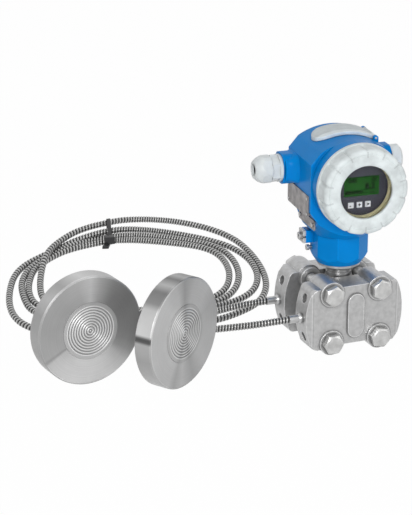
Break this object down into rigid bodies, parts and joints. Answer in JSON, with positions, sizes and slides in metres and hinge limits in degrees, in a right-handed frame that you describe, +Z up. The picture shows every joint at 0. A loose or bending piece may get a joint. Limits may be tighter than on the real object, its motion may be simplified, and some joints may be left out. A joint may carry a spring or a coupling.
{
  "type": "differential pressure transmitter",
  "caption": "Differential pressure transmitter with round display housing, bolted process flanges, armoured capillaries in a tied coil and pancake diaphragm seals.",
  "frame": {"origin": "on the surface that the part stands on, under the middle of the box round everything but the capillaries, their coil and its tie", "axes": "+Z up; the display looks along -Y, turned 5 degrees towards -X; the cable gland, the capillaries and the seals are on the -X side"},
  "size_m": [0.4082, 0.5176, 0.2244],
  "materials": {
    "cast_steel": "satin",
    "turned_steel": "satin",
    "bolt_steel": "satin",
    "diaphragm_steel": "polished",
    "hose_armour": "satin",
    "blue_paint": "gloss",
    "white_paint": "semi-gloss",
    "white_plastic": "semi-gloss",
    "window_glass": "clear",
    "brass": "satin",
    "dark_plastic": "matt",
    "screen_green": "satin",
    "key_white": "matt",
    "black_rubber": "matt",
    "plate_metal": "satin",
    "black_plastic": "matt"
  },
  "bodies": {
    "measuring_end": {"measuring_cell": "cast_steel", "front_flange": "cast_steel", "rear_flange": "cast_steel", "front_cell_seal": "black_rubber", "rear_cell_seal": "black_rubber", "capillary_adapter_front": "turned_steel", "capillary_adapter_rear": "turned_steel", "flange_bolts": "bolt_steel", "flange_nuts": "bolt_steel", "neck_adapter": "turned_steel", "seal_disc_left": "turned_steel", "diaphragm_left": "diaphragm_steel", "seal_outlet_left": "turned_steel", "seal_disc_right": "turned_steel", "diaphragm_right": "diaphragm_steel", "seal_outlet_right": "turned_steel", "capillary_lead_front": "hose_armour", "capillary_lead_rear": "hose_armour", "capillary_tail_left": "hose_armour", "capillary_tail_right": "hose_armour", "capillary_coil": "hose_armour", "cable_tie": "black_plastic"},
    "housing": {"housing_shell": "blue_paint", "front_cover_seal": "black_rubber", "rear_cover_seal": "black_rubber", "display_module": "dark_plastic", "display_screen": "screen_green", "electronics_insert": "dark_plastic", "terminal_block": "dark_plastic", "flap_pin": "bolt_steel", "gland_body": "white_plastic", "gland_seal": "black_rubber", "blanking_plug": "white_plastic", "plug_seal": "black_rubber", "nameplate": "plate_metal", "nameplate_rivets": "bolt_steel", "tag_plate": "plate_metal", "tag_screws": "bolt_steel", "earth_clamp": "bolt_steel", "earth_screw": "bolt_steel", "lock_screw": "bolt_steel"},
    "front_cover": {"front_cover": "white_paint", "cover_window": "window_glass", "window_ring": "brass"},
    "rear_cover": {"rear_cover": "white_paint"},
    "flap": {"operating_flap": "white_plastic"},
    "gland_nut": {"gland_nut": "white_plastic"},
    "operating_key_left": {"operating_key_left": "black_plastic"},
    "display_key_left": {"display_key_left": "key_white"},
    "operating_key_middle": {"operating_key_middle": "black_plastic"},
    "display_key_middle": {"display_key_middle": "key_white"},
    "operating_key_right": {"operating_key_right": "black_plastic"},
    "display_key_right": {"display_key_right": "key_white"}
  },
  "joints": [
    {"name": "housing_swivel", "type": "hinge", "parent": "measuring_end", "child": "housing", "pos_m": [0.13005, 0.01774, 0.095], "axis": [0, 0, 1], "range_deg": [-180, 180]},
    {"name": "front_cover_turn", "type": "hinge", "parent": "housing", "child": "front_cover", "pos_m": [0.12482, -0.04203, 0.1795], "axis": [0.0872, 0.9962, 0], "continuous": true},
    {"name": "rear_cover_turn", "type": "hinge", "parent": "housing", "child": "rear_cover", "pos_m": [0.13371, 0.05958, 0.1795], "axis": [0.0872, 0.9962, 0], "continuous": true},
    {"name": "gland_nut_turn", "type": "hinge", "parent": "housing", "child": "gland_nut", "pos_m": [0.06284, 0.0447, 0.1825], "axis": [0.9962, -0.0872, 0], "continuous": true},
    {"name": "flap_hinge", "type": "hinge", "parent": "housing", "child": "flap", "pos_m": [0.16172, 0.01899, 0.21566], "axis": [0.0872, 0.9962, 0], "range_deg": [0, 100]},
    {"name": "operating_key_left_press", "type": "slide", "parent": "housing", "child": "operating_key_left", "axis": [0, 0, -1], "range_m": [0, 0.0012], "stiffness_N_per_m": 300, "springref_m": -0.001},
    {"name": "operating_key_middle_press", "type": "slide", "parent": "housing", "child": "operating_key_middle", "axis": [0, 0, -1], "range_m": [0, 0.0012], "stiffness_N_per_m": 300, "springref_m": -0.001},
    {"name": "operating_key_right_press", "type": "slide", "parent": "housing", "child": "operating_key_right", "axis": [0, 0, -1], "range_m": [0, 0.0012], "stiffness_N_per_m": 300, "springref_m": -0.001},
    {"name": "display_key_left_press", "type": "slide", "parent": "housing", "child": "display_key_left", "axis": [0.0872, 0.9962, 0], "range_m": [0, 0.0008], "stiffness_N_per_m": 300, "springref_m": -0.001},
    {"name": "display_key_middle_press", "type": "slide", "parent": "housing", "child": "display_key_middle", "axis": [0.0872, 0.9962, 0], "range_m": [0, 0.0008], "stiffness_N_per_m": 300, "springref_m": -0.001},
    {"name": "display_key_right_press", "type": "slide", "parent": "housing", "child": "display_key_right", "axis": [0.0872, 0.9962, 0], "range_m": [0, 0.0008], "stiffness_N_per_m": 300, "springref_m": -0.001}
  ]
}
